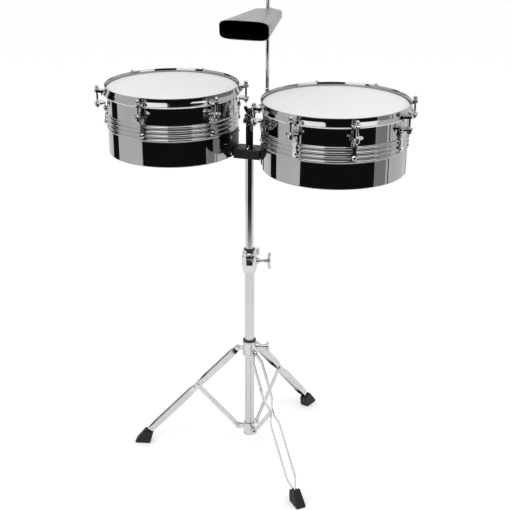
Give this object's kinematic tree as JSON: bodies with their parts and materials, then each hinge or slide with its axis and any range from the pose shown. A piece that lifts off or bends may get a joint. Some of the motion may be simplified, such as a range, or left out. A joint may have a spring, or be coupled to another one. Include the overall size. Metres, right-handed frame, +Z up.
{
  "type": "timbales",
  "caption": "Pair of metal-shell timbales on a folding tripod stand with a centre crossbar, height clamp, tension rods, and a cowbell on a bent rod.",
  "frame": {"origin": "on the floor, on the axis of the stand's tubes", "axes": "+X along the crossbar to the large drum, -Y to the player, +Z up"},
  "size_m": [0.8001, 0.5649, 1.2703],
  "materials": {
    "bright_chrome": "polished chrome plate on tubes, legs, lugs and rods",
    "shell_chrome": "mirror-polished black nickel chrome on rolled steel",
    "hoop_chrome": "mirror-polished chrome on formed steel",
    "post_chrome": "dark polished chrome",
    "cast_chrome": "chrome plate over die casting, softly polished",
    "screw_steel": "bright zinc and chrome plated fasteners",
    "head_film": "coated white polyester film",
    "black_coat": "black powder coat, fine texture",
    "bell_steel": "dark brushed lacquered steel",
    "rubber": "moulded black rubber",
    "nylon": "black moulded nylon"
  },
  "bodies": {
    "stand_base": {"lower_tube": "bright_chrome", "strut_collar": "cast_chrome", "tube_plug": "nylon", "height_clamp": "cast_chrome", "clamp_bushing": "nylon", "clamp_screws": "screw_steel"},
    "height_wing_screw": {"height_wing_screw": "bright_chrome"},
    "upper_tube": {"upper_tube": "bright_chrome"},
    "crossbar": {"crossbar": "black_coat", "crossbar_screw": "screw_steel", "cowbell_post": "post_chrome", "post_washer": "nylon"},
    "rod_wing_nut": {"rod_wing_nut": "post_chrome"},
    "cowbell_rod": {"cowbell_rod": "bright_chrome"},
    "bell_clamp": {"bell_eye_bolt": "bright_chrome"},
    "bell_wing_nut": {"bell_wing_nut": "post_chrome"},
    "cowbell": {"cowbell": "bell_steel", "bell_bracket": "bright_chrome"},
    "small_drum": {"small_shell": "shell_chrome", "small_head": "head_film", "small_hoop": "hoop_chrome", "small_lugs_set": "bright_chrome", "small_lug_screws": "screw_steel", "small_claws": "bright_chrome", "small_saddle": "black_coat", "small_saddle_bolts": "screw_steel"},
    "large_drum": {"large_shell": "shell_chrome", "large_head": "head_film", "large_hoop": "hoop_chrome", "large_lugs_set": "bright_chrome", "large_lug_screws": "screw_steel", "large_claws": "bright_chrome", "large_saddle": "black_coat", "large_saddle_bolts": "screw_steel"},
    "leg_collar": {"leg_collar": "cast_chrome", "collar_bushing": "nylon"},
    "collar_wing_screw": {"collar_wing_screw": "bright_chrome"},
    "strut_1": {"strut_1": "bright_chrome"},
    "leg_1": {"leg_1": "bright_chrome", "foot_1": "rubber"},
    "strut_2": {"strut_2": "bright_chrome"},
    "leg_2": {"leg_2": "bright_chrome", "foot_2": "rubber"},
    "strut_3": {"strut_3": "bright_chrome"},
    "leg_3": {"leg_3": "bright_chrome", "foot_3": "rubber"},
    "small_rod_1": {"small_rod_1": "bright_chrome"},
    "small_rod_2": {"small_rod_2": "bright_chrome"},
    "small_rod_3": {"small_rod_3": "bright_chrome"},
    "small_rod_4": {"small_rod_4": "bright_chrome"},
    "small_rod_5": {"small_rod_5": "bright_chrome"},
    "small_rod_6": {"small_rod_6": "bright_chrome"},
    "large_rod_1": {"large_rod_1": "bright_chrome"},
    "large_rod_2": {"large_rod_2": "bright_chrome"},
    "large_rod_3": {"large_rod_3": "bright_chrome"},
    "large_rod_4": {"large_rod_4": "bright_chrome"},
    "large_rod_5": {"large_rod_5": "bright_chrome"},
    "large_rod_6": {"large_rod_6": "bright_chrome"},
    "large_rod_7": {"large_rod_7": "bright_chrome"},
    "large_rod_8": {"large_rod_8": "bright_chrome"}
  },
  "joints": [
    {"name": "leg_fold", "type": "hinge", "parent": "stand_base", "child": "strut_1", "pos_m": [-0.03145, -0.00589, 0.068], "axis": [-0.184, 0.9829, 0], "range_deg": [0, 38.4]},
    {"name": "strut_2_hinge", "type": "hinge", "parent": "stand_base", "child": "strut_2", "pos_m": [0.02082, -0.0243, 0.068], "axis": [-0.7593, -0.6508, 0], "range_deg": [0, 38.4]},
    {"name": "strut_3_hinge", "type": "hinge", "parent": "stand_base", "child": "strut_3", "pos_m": [0.01063, 0.03018, 0.068], "axis": [0.9432, -0.3322, 0], "range_deg": [0, 38.4]},
    {"name": "leg_1_hinge", "type": "hinge", "parent": "strut_1", "child": "leg_1", "pos_m": [-0.14144, -0.02647, 0.18926], "axis": [-0.184, 0.9829, 0], "range_deg": [-76.8, 0]},
    {"name": "leg_2_hinge", "type": "hinge", "parent": "strut_2", "child": "leg_2", "pos_m": [0.09364, -0.10926, 0.18926], "axis": [-0.7593, -0.6508, 0], "range_deg": [-76.8, 0]},
    {"name": "leg_3_hinge", "type": "hinge", "parent": "strut_3", "child": "leg_3", "pos_m": [0.0478, 0.13573, 0.18926], "axis": [0.9432, -0.3322, 0], "range_deg": [-76.8, 0]},
    {"name": "collar_hinge", "type": "hinge", "parent": "leg_1", "child": "leg_collar", "pos_m": [-0.03145, -0.00589, 0.31052], "axis": [-0.184, 0.9829, 0], "range_deg": [0, 38.4]},
    {"name": "collar_screw_turn", "type": "hinge", "parent": "leg_collar", "child": "collar_wing_screw", "pos_m": [0, 0, 0.31852], "axis": [0.9829, 0.184, 0], "continuous": true},
    {"name": "height_screw_turn", "type": "hinge", "parent": "stand_base", "child": "height_wing_screw", "pos_m": [0, 0, 0.567], "axis": [0.9613, 0.2756, 0], "continuous": true},
    {"name": "height_slide", "type": "slide", "parent": "stand_base", "child": "upper_tube", "axis": [0, 0, 1], "range_m": [-0.19, 0.2]},
    {"name": "crossbar_swivel", "type": "hinge", "parent": "upper_tube", "child": "crossbar", "pos_m": [0, 0, 0.853], "axis": [0, 0, 1], "continuous": true},
    {"name": "small_drum_tilt", "type": "hinge", "parent": "crossbar", "child": "small_drum", "pos_m": [0, 0, 0.8645], "axis": [1, 0, 0], "range_deg": [-15, 15]},
    {"name": "large_drum_tilt", "type": "hinge", "parent": "crossbar", "child": "large_drum", "pos_m": [0, 0, 0.8645], "axis": [1, 0, 0], "range_deg": [-15, 15]},
    {"name": "cowbell_arm_swivel", "type": "hinge", "parent": "crossbar", "child": "cowbell_rod", "pos_m": [0, 0, 0.95525], "axis": [0, 0, 1], "range_deg": [-4, 20]},
    {"name": "rod_nut_turn", "type": "hinge", "parent": "crossbar", "child": "rod_wing_nut", "pos_m": [0, 0, 0.96], "axis": [0, 0, 1], "continuous": true},
    {"name": "cowbell_height", "type": "slide", "parent": "cowbell_rod", "child": "bell_clamp", "axis": [0, 0, 1], "range_m": [-0.06, 0.05]},
    {"name": "cowbell_tilt", "type": "hinge", "parent": "bell_clamp", "child": "cowbell", "pos_m": [0.01141, 0.12297, 1.19725], "axis": [0.999, -0.0436, 0], "range_deg": [-25, 25]},
    {"name": "bell_nut_turn", "type": "hinge", "parent": "bell_clamp", "child": "bell_wing_nut", "pos_m": [0.01141, 0.12297, 1.19725], "axis": [0.999, -0.0436, 0], "continuous": true},
    {"name": "small_rod_1_turn", "type": "hinge", "parent": "small_drum", "child": "small_rod_1", "pos_m": [-0.03216, 0.07741, 0.9837], "axis": [0, 0, 1], "continuous": true},
    {"name": "small_rod_2_turn", "type": "hinge", "parent": "small_drum", "child": "small_rod_2", "pos_m": [-0.18492, 0.18717, 0.9837], "axis": [0, 0, 1], "continuous": true},
    {"name": "small_rod_3_turn", "type": "hinge", "parent": "small_drum", "child": "small_rod_3", "pos_m": [-0.35635, 0.10976, 0.9837], "axis": [0, 0, 1], "continuous": true},
    {"name": "small_rod_4_turn", "type": "hinge", "parent": "small_drum", "child": "small_rod_4", "pos_m": [-0.37504, -0.07741, 0.9837], "axis": [0, 0, 1], "continuous": true},
    {"name": "small_rod_5_turn", "type": "hinge", "parent": "small_drum", "child": "small_rod_5", "pos_m": [-0.22228, -0.18717, 0.9837], "axis": [0, 0, 1], "continuous": true},
    {"name": "small_rod_6_turn", "type": "hinge", "parent": "small_drum", "child": "small_rod_6", "pos_m": [-0.05085, -0.10976, 0.9837], "axis": [0, 0, 1], "continuous": true},
    {"name": "large_rod_1_turn", "type": "hinge", "parent": "large_drum", "child": "large_rod_1", "pos_m": [0.39781, 0.08897, 0.9714], "axis": [0, 0, 1], "continuous": true},
    {"name": "large_rod_2_turn", "type": "hinge", "parent": "large_drum", "child": "large_rod_2", "pos_m": [0.28218, 0.1902, 0.9714], "axis": [0, 0, 1], "continuous": true},
    {"name": "large_rod_3_turn", "type": "hinge", "parent": "large_drum", "child": "large_rod_3", "pos_m": [0.12883, 0.18001, 0.9714], "axis": [0, 0, 1], "continuous": true},
    {"name": "large_rod_4_turn", "type": "hinge", "parent": "large_drum", "child": "large_rod_4", "pos_m": [0.0276, 0.06438, 0.9714], "axis": [0, 0, 1], "continuous": true},
    {"name": "large_rod_5_turn", "type": "hinge", "parent": "large_drum", "child": "large_rod_5", "pos_m": [0.03779, -0.08897, 0.9714], "axis": [0, 0, 1], "continuous": true},
    {"name": "large_rod_6_turn", "type": "hinge", "parent": "large_drum", "child": "large_rod_6", "pos_m": [0.15342, -0.1902, 0.9714], "axis": [0, 0, 1], "continuous": true},
    {"name": "large_rod_7_turn", "type": "hinge", "parent": "large_drum", "child": "large_rod_7", "pos_m": [0.30677, -0.18001, 0.9714], "axis": [0, 0, 1], "continuous": true},
    {"name": "large_rod_8_turn", "type": "hinge", "parent": "large_drum", "child": "large_rod_8", "pos_m": [0.408, -0.06438, 0.9714], "axis": [0, 0, 1], "continuous": true}
  ],
  "couplings": [
    {"joint": "strut_2_hinge", "follows": "leg_fold", "ratio": 1},
    {"joint": "strut_3_hinge", "follows": "leg_fold", "ratio": 1},
    {"joint": "leg_1_hinge", "follows": "leg_fold", "ratio": -2},
    {"joint": "leg_2_hinge", "follows": "leg_fold", "ratio": -2},
    {"joint": "leg_3_hinge", "follows": "leg_fold", "ratio": -2},
    {"joint": "collar_hinge", "follows": "leg_fold", "ratio": 1}
  ]
}
